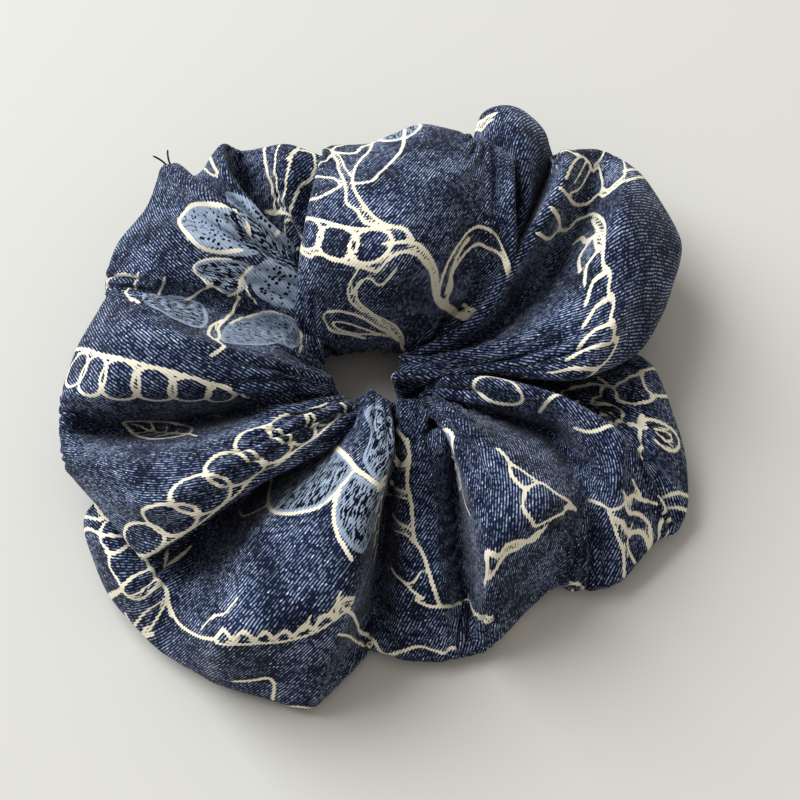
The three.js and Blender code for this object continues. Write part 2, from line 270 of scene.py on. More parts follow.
def print_back_middle(cloth):
    """The tall puff behind the hole: a long leaf, stems, three links and a double wavy line."""
    cloth.line(PLAIN, (43, 3), (41, 5.5), (38, 9.5), (34, 13), (30, 16.5), (26, 18.5), (23.5, 18.8), (20.5, 16.5),
               (24, 13), (28, 11.5), (31, 10))
    cloth.line(FINE, (41, 5.5), (37, 9.5), (33, 11), (29, 11.8), (25, 13.6), (23.5, 15.7), (26, 15.5), (30, 13.5),
               (36, 10))
    cloth.line(FINE, (41.5, 6), (38, 12), (34, 16), (30, 19.5), (27.8, 22.5), (27.8, 26), (29.5, 27.5), (32, 25.5),
               (34, 29))
    cloth.line(FINE, (40.5, 6), (36, 12.5), (32, 17), (28.5, 19.5), (26.5, 22), (25.8, 25), (27, 29))
    cloth.line(BOLD, (27, 24), (28, 26.5))
    for middle, along in ((14, 4.3), (21.7, 4.6), (28.5, 3.8)):
        cloth.ring((middle, 33.7), along, 3.3)
    cloth.line(PLAIN, (11, 30), (16, 29.3), (18, 30.5), (25, 30.5), (31, 28.7))
    cloth.line(PLAIN, (11, 37), (20, 37.2), (27, 37), (33, 37), (36, 34))
    cloth.line(PLAIN, (31, 29), (33, 31.5), (36, 31.7), (39, 29.5), (42, 26), (44, 21.5), (46, 18), (48.5, 16.2),
               (52, 15), (57, 13.5), (62, 14.5))
    cloth.line(PLAIN, (31, 34), (35, 33.7), (38, 32.2), (41, 29), (43.2, 26), (45, 21.5), (47, 18.5), (50, 17.5))
    cloth.line(BROAD, (44.8, 20.5), (46.5, 18.5), (49, 17))
    cloth.line(PLAIN, (46, 20), (45.3, 24), (45.5, 28), (47.5, 31.5), (50, 34), (54, 34.8), (58, 34.5), (61, 32.5),
               (64, 29))
    cloth.line(PLAIN, (48, 20), (47.5, 25), (50, 29), (53, 31), (57, 31.2), (61, 30.8), (64, 28))
    cloth.line(BOLD, (49, 17), (49, 21), (47.2, 25), (47.8, 29), (50, 32))
    cloth.line(BROAD, (50, 16.5), (54, 15), (58, 14), (63, 16))
    cloth.line(BOLD, (56, 17), (60, 16.5), (63, 18))
    cloth.line(PLAIN, (30, 37.5), (26.5, 38.5), (24.5, 41), (22, 42.5), (21.3, 45), (20, 48.5), (18, 52), (17, 55),
               (15, 58), (14, 60))
    cloth.line(PLAIN, (33, 37), (30, 38), (27.5, 40), (25, 43), (23, 46), (22, 49), (21.8, 53), (22.5, 57), (24, 62),
               (24, 68))
    cloth.line(PLAIN, (22.5, 47.5), (26, 48.5), (27, 51), (29.5, 56), (30.8, 60), (31, 69))
    cloth.line(PLAIN, (10, 41), (15, 42), (18, 44.5), (19.5, 46.5), (17.5, 48.5), (14, 48.5), (10, 48.7))
    cloth.line(FINE, (21.5, 50), (19.5, 53), (17, 58), (14, 60))
    cloth.line(FINE, (11, 52), (14, 55.5), (15, 60), (11, 61))
    cloth.line(BOLD, (14, 60), (18, 59.5), (21, 61), (22, 65), (26, 69))
    cloth.line(PLAIN, (14, 60), (16, 64), (20, 68))


def print_back_right(cloth):
    """The small puff at the back and the tops of the right-hand puff: stems and leaves."""
    cloth.line(BOLD, (94.8, 62), (96, 59.5), (99, 58.6))
    cloth.line(PLAIN, (93, 64), (94.5, 58.5), (98, 57.2))
    cloth.line(PLAIN, (119, 61), (121, 57), (123.5, 53))
    cloth.line(PLAIN, (125, 61), (127, 56), (128, 53))
    cloth.line(BOLD, (128, 62), (132, 59), (136, 57))
    cloth.line(PLAIN, (133, 35), (138, 37), (139.5, 40), (142.5, 42), (143.5, 45), (147, 46.5), (151, 45.8), (156, 44),
               (158, 42), (160, 39.5))
    cloth.line(BOLD, (133, 40.5), (137, 41), (140, 40.5))
    cloth.line(PLAIN, (133, 45), (139, 45.8), (143, 48), (146.5, 51), (150, 50.3), (152.5, 52), (154.5, 55),
               (157, 59), (159, 65))
    cloth.line(FINE, (136, 46), (139, 49), (140.5, 53), (141, 56))
    cloth.line(PLAIN, (133.5, 48), (134.5, 53), (137, 57), (140, 56.5), (142, 55.5), (144, 57.5), (147, 54), (148, 51.5))
    cloth.line(FINE, (136.5, 49), (138, 53), (139, 56))
    cloth.line(PLAIN, (142, 57), (144, 60), (145, 65))
    cloth.line(PLAIN, (148, 52.5), (151, 52), (154, 57), (153, 60), (150.5, 64))
    cloth.line(PLAIN, (153, 58.5), (155.5, 62), (157, 67))


def print_right_trim(cloth):
    """The right-hand puff: a trim with a bumpy spine and open loops towards the hole."""
    cloth.line(BOLD, (147, 40.5), (149, 41.5), (151.5, 40.6), (154, 41.6), (156.5, 40), (159, 40.3), (161, 38.5),
               (163.5, 39), (165.7, 37.2), (168.3, 37.7), (170.7, 36), (173.5, 36.8), (176, 37.3), (178, 39.3),
               (181, 38.3), (183, 36.3), (187, 35.3))
    cloth.line(PLAIN, (149.5, 45), (154, 43), (158, 41.4))
    for foot, lip, tip in (
        ((153, 41), (152.3, 37.5), (155, 35.2)),
        ((158, 40), (156.5, 36.5), (159, 33.8)),
        ((162.6, 38.7), (161, 35), (163, 32.2)),
        ((167, 37.5), (165.5, 33.8), (167.3, 31)),
        ((172, 36.3), (170.3, 32.8), (172.5, 30)),
        ((177.3, 38.5), (175.5, 33), (177.3, 29.7)),
        ((182.3, 37), (181, 32), (182.5, 28.7)),
    ):
        cloth.line(BOLD, foot, lip, tip)


def print_right_low(cloth):
    """The low puff at the right: loops, a stem with a small spiral, and arcs."""
    cloth.line(PLAIN, (216, 38), (214.7, 43), (216, 48), (219.5, 45), (222, 40.5), (219.5, 37.5), closed=True)
    cloth.line(PLAIN, (222, 40.5), (221.5, 45), (223.5, 49.5), (226.2, 49), (227, 44.5), (225.5, 40.5), closed=True)
    cloth.line(PLAIN, (225.5, 41), (226, 36.5), (229, 35), (231, 38), (229.5, 42.5))
    cloth.line(PLAIN, (213, 49), (217, 50.5), (220, 50.5), (221, 53), (220.5, 57), (219, 60))
    cloth.line(PLAIN, (215, 48), (216, 51), (214.5, 55), (213.5, 60), (213.5, 66))
    cloth.line(PLAIN, (213.5, 59), (216, 57.8), (218.5, 58.5), (219, 62), (218.5, 68))
    cloth.line(BOLD, (234, 41), (230, 44.5), (228, 48), (227, 51.5), (226.5, 55))
    cloth.line(BOLD, (224, 55), (226.5, 53.5), (231, 52.5), (235, 50.5), (238, 51))
    cloth.line(PLAIN, (226.5, 53.5), (224.5, 56), (224.3, 60), (225.5, 64), (227.5, 64), (229.2, 60), (228.8, 56.5))
    cloth.line(FINE, (226.2, 57), (225.7, 60), (226.5, 62), (227.6, 60), (227, 57.5))
    cloth.line(PLAIN, (235, 67), (236, 62), (238, 59), (240.5, 58.3))
    cloth.line(PLAIN, (237.5, 67), (238.5, 62.5), (241, 60.5))
    cloth.line(BOLD, (244, 57.5), (244, 61), (248, 62.5), (250, 67))
    cloth.line(PLAIN, (242, 62), (245, 64.5), (248, 67))


def print_front_right(cloth):
    """The rolled fold and the front right puff: a link, a cone with open scales, a five-sided
    loop and a broad band along the front edge."""
    cloth.ring((254.8, 15.7), 3.2, 5.2)
    cloth.line(PLAIN, (250.5, 29), (254, 26), (257.5, 24.3))
    cloth.line(PLAIN, (249, 41.5), (252.5, 39.5), (255.5, 36.5), (256.8, 33))
    cloth.line(PLAIN, (267, 51.5), (262, 52), (258, 52), (255, 53), (252, 56.5), (247, 59.5))
    cloth.line(BOLD, (262, 53), (259.5, 55), (258, 58.5), (254, 62), (253, 67))
    cloth.line(PLAIN, (261.5, 54), (260.5, 58), (259.5, 62), (259.7, 67))
    cloth.line(PLAIN, (258, 52), (257, 55), (254, 58), (252, 62), (252.5, 66))
    cloth.line(FINE, (254, 50.5), (252.5, 55))
    cloth.line(FINE, (258, 49.5), (256, 54))
    cloth.line(FINE, (256.5, 58), (258.5, 60.5), (257, 66))
    cloth.line(PLAIN, (285.3, 29), (285.5, 33), (286.8, 36), (286.2, 40), (283, 40.5), (281, 44.5), (279, 46),
               (274.5, 49.7))
    cloth.line(FINE, (285.5, 33), (284.3, 37), (283.3, 40))
    cloth.line(PLAIN, (286, 40), (288.3, 43), (288, 46), (286.8, 48.3), (281, 48.5), (278.5, 46.7))
    cloth.line(BOLD, (276.5, 48.3), (280, 47.2))
    cloth.line(BOLD, (285.5, 50), (288, 51.7), (289.5, 50.5), (291, 48.8), (293.5, 47.2), (295, 48), (297, 45.5),
               (298, 49), (300, 51.5))
    cloth.line(BOLD, (287, 50), (291, 50.7), (294, 49), (298, 50.7))


def print_front_middle(cloth):
    """The front middle puff: a line with loops down its inner side, and two wavy lines below."""
    cloth.line(PLAIN, (332, 12), (332, 17), (332.3, 22), (331.5, 27), (331.3, 32), (331, 36), (329.5, 40), (328.7, 44),
               (328, 48), (327, 51.5))
    cloth.line(PLAIN, (338, 6), (334, 9), (332, 14), (332.7, 17.5), (336, 16.5), (340, 14.5))
    cloth.line(BOLD, (333, 18), (336, 17.5), (340, 17))
    cloth.line(PLAIN, (332.5, 24.5), (336, 23), (342, 22.8), (345, 24))
    cloth.line(FINE, (332.5, 26), (337, 24.7), (344, 25.4))
    cloth.line(PLAIN, (331.5, 33.5), (334, 32), (337, 29.5))
    cloth.line(FINE, (331, 37), (333, 34.5), (336, 33.5))
    cloth.line(FINE, (330, 44), (332, 46.5), (334, 45.5), (337, 43.5))
    cloth.line(FINE, (330, 49.5), (332, 48), (334, 45.5))
    cloth.line(PLAIN, (300, 60), (305, 57.5), (310, 56.5), (315, 54.5), (320, 52.8), (325, 52), (329, 51.5), (331, 50))
    cloth.line(FINE, (300, 61.5), (306, 58), (310, 55), (313, 53.7))
    cloth.line(PLAIN, (321, 65), (321.3, 62.5), (323.5, 61), (326, 62.3), (329, 62), (331, 61), (334, 61.5), (337, 63),
               (340, 64), (343, 63), (346, 60), (350, 57.5), (355, 53), (360, 49.5), (365, 47))
    cloth.line(FINE, (344, 64), (350, 59.7), (357, 55), (364, 52))


def print_front_left(cloth):
    """The front left puff: two pale petals by the hole, and a scalloped line along the fold."""
    cloth.fill((371.5, 22.5), (376, 18.5), (383, 13.5), (389, 14), (394, 18), (397, 23.5), (390, 27.5), (384, 30.5),
               (377, 31), (373.5, 29))
    cloth.fill((361, 24.5), (366, 25.5), (370.5, 23.5), (372, 27), (371, 32), (368, 36), (364, 38), (360, 34), (359, 28))
    cloth.fill((363, 10), (367, 8), (371, 6), (374, 9), (371, 15), (370.5, 20), (366, 24.5), (362, 23))
    cloth.line(BOLD, (359, 23), (362, 24.3), (365, 25.3), (368, 24), (371, 22.3), (375, 19), (379, 16), (385, 12))
    cloth.line(PLAIN, (371, 22.3), (372, 26), (374, 30), (377, 31), (382, 31), (387, 29), (392, 26), (398, 23))
    cloth.line(PLAIN, (372, 27), (371.5, 31), (369.5, 35), (366, 39))
    fold = ((363, 45.5), (366, 48.3), (369, 50.8), (372.3, 52.3), (375.7, 52.9), (379.2, 53.3), (382.7, 54), (386.2, 55.2))
    for start, end in zip(fold[:-1], fold[1:]):
        across = ((end[1] - start[1]) * 0.45, (start[0] - end[0]) * 0.45)
        bump = ((start[0] + end[0]) / 2 + across[0], (start[1] + end[1]) / 2 + across[1])
        cloth.line(PLAIN, start, bump, end)
    cloth.line(FINE, *((along, over + 0.7) for along, over in fold))
    cloth.line(PLAIN, (386.2, 55.2), (391, 57.3), (396, 58.2), (400, 57.8), (404, 55.5))
    cloth.line(FINE, (366.5, 44.5), (367, 47), (368.5, 49))
    cloth.line(FINE, (370.5, 48.5), (371, 51))
    cloth.line(FINE, (384.5, 47.5), (386, 50.5), (388.5, 52), (391, 55.5))
    cloth.line(PLAIN, (372, 69), (372.7, 64.5), (374.5, 63), (377, 64.5), (381, 66.5))
    cloth.line(FINE, (388, 29), (392, 31.5), (395, 32.2), (400, 31))


def print_left_low(cloth):
    """The low puff at the left, half hidden: loops hanging from a line, like a ladder."""
    cloth.line(PLAIN, (406, 44), (407, 48), (408.5, 50.5), (411, 46.5))
    cloth.line(PLAIN, (401, 58), (404, 55), (408, 54), (411, 52.3), (415, 51.5))
    cloth.line(FINE, (403, 56), (403, 61), (403.3, 68))
    cloth.line(FINE, (404, 57), (405.5, 61), (405.5, 68))
    cloth.line(PLAIN, (406.5, 54.5), (408, 58.5), (410, 60), (413, 59), (416, 59.3), (418.5, 57.5), (421, 58.5),
               (424, 57.5))
    cloth.line(FINE, (408, 54), (409, 57), (410, 60))
    cloth.line(PLAIN, (411, 52.5), (412.3, 55), (412, 59))
    cloth.line(BOLD, (411.5, 60), (411.5, 68))
    cloth.line(PLAIN, (419, 53), (418, 56), (418.5, 58))
    cloth.line(PLAIN, (421, 54), (422, 58), (423, 62), (422, 68))
    cloth.line(PLAIN, (425, 57), (427, 60), (430, 62.5))
    cloth.line(PLAIN, (425, 58.5), (425.5, 66))


def print_left_chain(cloth):
    """The left puff: a chain of overlapping rings, smaller towards the rim."""
    for place, along, over in (
        ((471.5, 8.5), 7.5, 4.6),
        ((471, 16), 8, 4.7),
        ((469.5, 23), 7.6, 4.8),
        ((466.8, 30.3), 6, 4.7),
        ((465, 37.8), 5.3, 4.8),
        ((463.3, 45.5), 4.6, 4.9),
        ((460.5, 54), 3.4, 5.4),
    ):
        cloth.ring(place, along, over)
    cloth.line(FINE, (465.5, 1), (463.5, 10), (462, 20), (461, 28), (459.5, 36), (458.5, 45), (457.5, 52), (456, 58))
    cloth.line(BOLD, (477, 20), (477, 23))


def print_left_upper_chain(cloth):
    """The upper left puff: a second, narrower chain under a line."""
    cloth.line(PLAIN, (507, 20.5), (511, 21.7), (514, 24), (516, 28), (517.3, 33), (518, 39), (518.7, 45), (519.5, 51),
               (521, 57), (522.5, 66))
    for place, along, over in (
        ((511.5, 25.5), 3.6, 2.6),
        ((513.6, 31), 3.2, 3.9),
        ((514.3, 37.6), 3.5, 4.1),
        ((514.8, 44.5), 3.7, 4.3),
        ((515.6, 51.6), 3.8, 4.4),
        ((517, 58.6), 3.6, 4.2),
    ):
        cloth.ring(place, along, over)


def print_petals(cloth):
    """The flower at the upper left, which the closing seam cuts through."""
    cloth.fill((527, 25.5), (530, 20), (534, 14), (537, 10), (541, 9), (547, 8.5), (550, 13), (549.5, 17), (547, 20),
               (543, 23.5), (538, 25.5), (532, 26), spotted=0.5)
    cloth.line(PLAIN, (535, 9), (540, 8.5), (547, 8), (550, 12), (549.7, 17), (547, 20.5), (544, 23), (539, 25))
    cloth.fill((532, 31), (536, 29.5), (541, 31), (545, 33.5), (546, 38), (545.5, 43), (543, 46), (536, 46.5), (533, 45),
               (531.5, 38))
    cloth.line(PLAIN, (522, 27.5), (524.5, 25.5), (527, 26.8), (531, 26.3), (535, 27), (540, 26.3), (545, 25.8), (551, 25))
    cloth.line(PLAIN, (527, 27), (530, 28.5), (535, 28.5), (539, 27))
    cloth.line(PLAIN, (545, 37.5), (547.5, 35.5), (550.5, 33.5), (553, 32))
    cloth.line(PLAIN, (532, 46), (536, 51.5), (541, 52.5), (546, 51), (552, 49.7))
    cloth.line(PLAIN, (533.5, 49), (535, 54), (538, 60))
    cloth.line(BOLD, (551, 50), (551.5, 54), (550, 58), (545, 60))
    cloth.line(PLAIN, (545, 44.7), (548, 43.5), (552, 42.5))
    cloth.fill((551.5, 26), (555, 24.5), (560, 26), (560, 30), (558, 35), (555.5, 37), (553.5, 34.5), (551.5, 30))
    cloth.line(PLAIN, (550, 27.5), (553, 25.7), (556, 26.5), (560, 25.5))
    cloth.line(FINE, (551, 28), (553, 33), (555.5, 36.8), (558, 35), (560, 30))
    cloth.line(FINE, (550.5, 21), (553.5, 24), (556, 26))
    cloth.fill((552, 17), (554, 12), (558, 11), (563, 15), (564, 22), (559, 25.5), (554, 23), spotted=1.0)
    cloth.fill((576, 34), (580, 31), (584, 29), (586, 22), (583, 14), (575, 12), (568, 13), (562, 20), (566, 27), (571, 30))
    cloth.fill((562, 27), (560.5, 32), (560.5, 37), (563, 42), (567, 46), (570, 47), (573, 44), (575.5, 39), (577, 35),
               (575, 29), (570, 26), (565, 25), spotted=1.0)
    cloth.line(BOLD, (562.5, 29), (560.7, 33), (560.7, 37), (563, 41.7), (566.5, 45.5), (569.5, 47), (572.5, 44.7),
               (575, 40), (577, 35), (578.5, 32))
    cloth.line(PLAIN, (573.5, 26), (576, 27), (578, 29.5), (579, 32.5))
    cloth.fill((584.5, 24), (588, 21.5), (590.5, 25), (591, 33), (589.5, 40), (587, 43), (584.5, 38), spotted=1.0)
    cloth.line(PLAIN, (584, 26), (588, 26.5), (591, 25.5))
    cloth.line(BOLD, (590.5, 46), (590, 52), (590, 58))
    cloth.line(FINE, (587.5, 59), (588, 52), (589.7, 46))


def print_back_left(cloth):
    """The puff behind the seam: a fan of long leaf lines."""
    cloth.line(BOLD, (626.5, 31), (621, 33.3), (617, 35), (613, 38))
    cloth.line(PLAIN, (617, 35), (616.8, 42), (615.5, 48), (614.3, 55))
    cloth.line(FINE, (619, 34.5), (618.5, 42), (618, 48), (618.5, 56))
    cloth.line(FINE, (620, 34.5), (621, 42), (621.5, 48), (623, 56))
    cloth.line(PLAIN, (622, 34), (624, 42), (626.5, 46), (627.3, 51), (625.5, 53.5), (622.5, 52), (621, 48))
    cloth.line(PLAIN, (617.5, 29), (621, 32), (625, 31.5), (625.5, 27.5), (622, 25))


def put(place, turn, *points):
    """Points given about (0, 0), turned and moved to a place on the cloth."""
    c, s = math.cos(turn), math.sin(turn)
    return [(place[0] + x * c - y * s, place[1] + x * s + y * c) for x, y in points]


def scatter_links(cloth, place, turn):
    for along in (-9, -3, 3, 9):
        (middle,) = put(place, turn, (along, 0))
        cloth.ring(middle, 3.8, 3.6)


def scatter_leaf(cloth, place, turn):
    cloth.line(PLAIN, *put(place, turn, (-10, 0), (-4, 4), (4, 3.6), (10, 0), (4, -3.6), (-4, -4)), closed=True)
    cloth.line(FINE, *put(place, turn, (-14, 0.8), (-10, 0), (0, 0.6), (8, 0)))
    for along in (-4, 0, 4):
        cloth.line(FINE, *put(place, turn, (along - 1.5, 0.3), (along + 1.5, 2.6)))
        cloth.line(FINE, *put(place, turn, (along - 1.5, 0.3), (along + 1.5, -2.4)))


def scatter_petals(cloth, place, turn):
    for lean in (-0.55, 0.55):
        outline = put(place, turn + lean, (1, 0), (5, 3.8), (11, 4), (14, 0.5), (11, -3.6), (5, -3.2))
        cloth.fill(*outline, spotted=0.5 + lean)
        cloth.line(PLAIN, *outline, closed=True)
    cloth.line(PLAIN, *put(place, turn, (1, 0), (-4, 1), (-9, -1)))


def scatter_wave(cloth, place, turn):
    for shift in (0, 1.9):
        cloth.line(PLAIN, *put(place, turn, (-13, shift), (-8, 3 + shift), (-3, shift), (2, -3 + shift), (7, shift),
                               (12, 3 + shift)))


def scatter_trim(cloth, place, turn):
    cloth.line(PLAIN, *put(place, turn, *((x, 0.5 * (-1) ** k) for k, x in enumerate(range(-12, 13, 3)))))
    for x in range(-9, 12, 5):
        cloth.line(PLAIN, *put(place, turn, (x, 0), (x - 1.4, -3), (x + 0.4, -5.5)))
        cloth.line(FINE, *put(place, turn, (x - 1.4, -3), (x + 1.2, -4)))


def print_hidden(cloth):
    """The same kinds of motif on the underside and deep in the folds, strewn evenly."""
    dice = np.random.default_rng(7)
    kinds = (scatter_links, scatter_leaf, scatter_petals, scatter_wave, scatter_trim)
    rows = [(along, over) for over in (78, 98, 118) for along in range(8, 625, 22)]
    folds = [(78, 30), (78, 54), (124, 30), (197, 26), (197, 52), (306, 26), (352, 28), (437, 24), (437, 48),
             (493, 40), (603, 24)]
    for number, (along, over) in enumerate(rows + folds):
        place = (along + dice.uniform(-4, 4), over + dice.uniform(-2, 2))
        kinds[(number * 7 + number // 5) % 5](cloth, place, dice.uniform(0, 2 * math.pi))


# ------------------------------------------------------------------ materials

class Shader:
    """Short ways to add shader nodes to one new material."""

    def __init__(self, name):
        self.material = bpy.data.materials.new(name)
        self.material.use_nodes = True
        self.tree = self.material.node_tree
        self.surface = self.tree.nodes["Principled BSDF"]

    def add(self, kind, settings=None, **inputs):
        node = self.tree.nodes.new(kind)
        for key, value in (settings or {}).items():
            setattr(node, key, value)
        for key, value in inputs.items():
            self.put(node.inputs[key.replace("_", " ")], value)
        return node

    def put(self, socket, value):
        if isinstance(value, bpy.types.NodeSocket):
            self.tree.links.new(value, socket)
        else:
            socket.default_value = value

    def math(self, operation, *values):
        node = self.tree.nodes.new("ShaderNodeMath")
        node.operation = operation
        for socket, value in zip(node.inputs, values):
            self.put(socket, value)
        return node.outputs[0]

    def step(self, value, low, high):
        """0 below low and 1 above high, smooth between; low may be the greater."""
        node = self.tree.nodes.new("ShaderNodeMapRange")
        node.interpolation_type = "SMOOTHSTEP"
        for socket, setting in zip(node.inputs, (value, low, high)):
            self.put(socket, setting)
        return node.outputs[0]

    def stored(self, name):
        return self.add("ShaderNodeAttribute", {"attribute_name": name}).outputs["Fac"]

    def vector(self, x, y, z=0.0):
        return self.add("ShaderNodeCombineXYZ", X=x, Y=y, Z=z).outputs[0]

    def noise(self, vector, scale, detail=2.0):
        return self.add("ShaderNodeTexNoise", Vector=vector, Scale=scale, Detail=detail).outputs["Fac"]

    def mix(self, share, first, second):
        node = self.tree.nodes.new("ShaderNodeMix")
        node.data_type = "RGBA"
        self.put(node.inputs[0], share)
        self.put(node.inputs[6], first)
        self.put(node.inputs[7], second)
        return node.outputs[2]

    def finish(self, colour, roughness, height=None, bump=1.0, depth=0.0001):
        self.put(self.surface.inputs["Base Color"], colour)
        self.put(self.surface.inputs["Roughness"], roughness)
        if height is not None:
            node = self.add("ShaderNodeBump", Strength=bump, Distance=depth, Height=height)
            self.put(self.surface.inputs["Normal"], node.outputs[0])
        return self.material


def rgb(red, green, blue):
    """A colour given as it looks on screen, 0 to 255, as the shader's linear values."""
    def linear(value):
        share = value / 255
        return share / 12.92 if share < 0.04045 else ((share + 0.055) / 1.055) ** 2.4
    return (linear(red), linear(green), linear(blue), 1.0)


NAVY_DEEP = rgb(12, 18, 36)
NAVY_WORN = rgb(30, 46, 90)
THREAD_DIM = rgb(104, 118, 145)
THREAD_PALE = rgb(172, 189, 214)
FLECK = rgb(226, 231, 236)
PETAL_DIM = rgb(130, 146, 172)
PETAL_PALE = rgb(184, 199, 218)
CREAM = rgb(240, 235, 218)
CREAM_DIM = rgb(218, 211, 192)
TWILL_PITCH = 0.58          # between the diagonal lines, mm
TWILL_ANGLE = math.radians(62)


def printed_twill():
    """Navy twill with broken pale diagonal threads, worn patches, pale petals and cream lines."""
    s = Shader("printed_twill")
    flat = s.add("ShaderNodeSeparateXYZ", Vector=s.add("ShaderNodeUVMap", {"uv_map": "cloth"}).outputs[0])
    u, v = flat.outputs[0], flat.outputs[1]
    cloth = s.vector(u, v)
    turn = math.cos(TWILL_ANGLE), math.sin(TWILL_ANGLE)
    along = s.math("ADD", s.math("MULTIPLY", u, turn[0]), s.math("MULTIPLY", v, turn[1]))
    waver = s.math("MULTIPLY", s.noise(cloth, 0.35), 0.5)
    over = s.math("ADD", s.math("SUBTRACT", s.math("MULTIPLY", v, turn[0]), s.math("MULTIPLY", u, turn[1])), waver)
    line_count = s.math("DIVIDE", over, TWILL_PITCH)
    line = s.math("FLOOR", line_count)
    from_middle = s.math("ABSOLUTE", s.math("SUBTRACT", s.math("FRACT", line_count), 0.5))
    # each diagonal has its own dashes, and they run together where the cloth is worn
    wear = s.math("SUBTRACT", s.noise(cloth, 0.11, 3.0), 0.5)
    patches = s.math("SUBTRACT", s.noise(cloth, 0.4, 2.0), 0.5)
    worn = s.math("ADD", s.math("MULTIPLY", wear, 0.9), s.math("MULTIPLY", patches, 0.45))
    shift = s.math("MULTIPLY", line, 7.31)
    run = s.math("ADD", s.math("MULTIPLY", along, 1.35), shift)
    dash = s.noise(s.vector(run, s.math("MULTIPLY", line, 3.7)), 1.0, 1.0)
    grain = s.math("SUBTRACT", s.noise(cloth, 3.0, 1.0), 0.5)
    break_at = s.math("SUBTRACT", 0.48, s.math("MULTIPLY", worn, 0.35))
    dashes = s.step(s.math("SUBTRACT", dash, break_at), -0.08, 0.12)
    thread = s.math("MULTIPLY", s.step(from_middle, 0.32, 0.08), s.math("ADD", s.math("MULTIPLY", dashes, 0.92), 0.08))
    mottle = s.step(s.math("ADD", worn, s.math("MULTIPLY", grain, 0.8)), -0.25, 0.40)
    navy = s.mix(mottle, NAVY_DEEP, NAVY_WORN)
    pale = s.mix(mottle, THREAD_DIM, THREAD_PALE)
    fleck_at = s.math("ADD", s.noise(cloth, 1.6, 1.0), s.math("MULTIPLY", worn, 0.25))
    pale = s.mix(s.step(fleck_at, 0.58, 0.68), pale, FLECK)
    ground = s.mix(thread, navy, pale)
    # petals: pale, with dark specks or dark broken stripes
    petal = s.stored("petal")
    spotted = s.step(s.stored("spotted"), 0.3, 0.7)
    cell = s.add("ShaderNodeTexVoronoi", Vector=cloth, Scale=0.95, Randomness=0.8)
    specks = s.step(s.math("ADD", cell.outputs["Distance"], s.math("MULTIPLY", grain, 0.2)), 0.32, 0.42)
    vein = s.noise(s.vector(s.math("MULTIPLY", u, 2.4), s.math("MULTIPLY", v, 0.5)), 1.0, 1.5)
    stripes = s.step(s.math("ADD", vein, s.math("MULTIPLY", thread, 0.12)), 0.49, 0.57)
    clear = s.math("ADD", s.math("MULTIPLY", specks, spotted),
                   s.math("MULTIPLY", stripes, s.math("SUBTRACT", 1.0, spotted)))
    clear = s.math("MAXIMUM", clear, s.step(petal, 1.2, 0.5))
    woven = s.math("SUBTRACT", 1.0, s.math("MULTIPLY", s.step(from_middle, 0.28, 0.45), 0.42))
    petal_blue = s.mix(s.noise(cloth, 0.6), PETAL_DIM, PETAL_PALE)
    petal_paint = s.mix(s.math("MULTIPLY", clear, woven), NAVY_DEEP, petal_blue)
    painted = s.mix(s.step(s.math("ADD", petal, s.math("MULTIPLY", thread, 0.25)), -0.05, 0.2), ground, petal_paint)
    # cream lines, ragged where they cross the twill
    ragged = s.math("ADD", s.math("MULTIPLY", s.math("SUBTRACT", from_middle, 0.25), -0.45),
                    s.math("MULTIPLY", s.math("SUBTRACT", s.noise(cloth, 1.3), 0.5), 0.5))
    edge = s.math("ADD", s.stored("line_width"), ragged)
    middle = s.math("SUBTRACT", s.math("ABSOLUTE", s.stored("line_side")), edge)
    inked = s.math("MULTIPLY", s.step(middle, 0.07, -0.07), s.step(s.stored("line_near"), 0.30, 0.16))
    cream = s.mix(s.math("MULTIPLY", s.step(from_middle, 0.1, 0.45), 0.5), CREAM, CREAM_DIM)
    colour = s.mix(inked, painted, cream)
    height = s.math("ADD", s.math("MULTIPLY", s.step(from_middle, 0.45, 0.1), 0.6), s.math("MULTIPLY", dash, 0.4))
    s.put(s.surface.inputs["Specular IOR Level"], 0.12)
    s.put(s.surface.inputs["Sheen Weight"], 0.10)
    s.put(s.surface.inputs["Sheen Roughness"], 0.5)
    return s.finish(colour, 0.92, height, 0.35, 0.00012)


PUCKER = 0.4                # how much of the cloth's finest puckers stays, 0 to 1


def knit(points, times):
    """A periodic grid's first axis, each step cut into times, part smoothed and part exact."""
    n = len(points)
    where = np.arange(n * times) / times
    base = np.floor(where).astype(int)
    t = (where - base).reshape((-1,) + (1,) * (points.ndim - 1))
    p0, p1, p2, p3 = (points[(base + k) % n] for k in (-1, 0, 1, 2))
    soft = ((1 - t) ** 3 * p0 + (3 * t ** 3 - 6 * t ** 2 + 4) * p1
            + (-3 * t ** 3 + 3 * t ** 2 + 3 * t + 1) * p2 + t ** 3 * p3) / 6
    crisp = 0.5 * (2 * p1 + (p2 - p0) * t + (2 * p0 - 5 * p1 + 4 * p2 - p3) * t ** 2
                   + (3 * p1 - p0 - 3 * p2 + p3) * t ** 3)
    return soft + (crisp - soft) * PUCKER


def finer(points, times):
    ring = knit(points, times)
    return knit(ring.transpose(1, 0, 2), times).transpose(1, 0, 2)


def store(mesh, name, values):
    mesh.attributes.new(name, "FLOAT", "POINT").data.foreach_set("value", np.ascontiguousarray(values, np.float32).ravel())


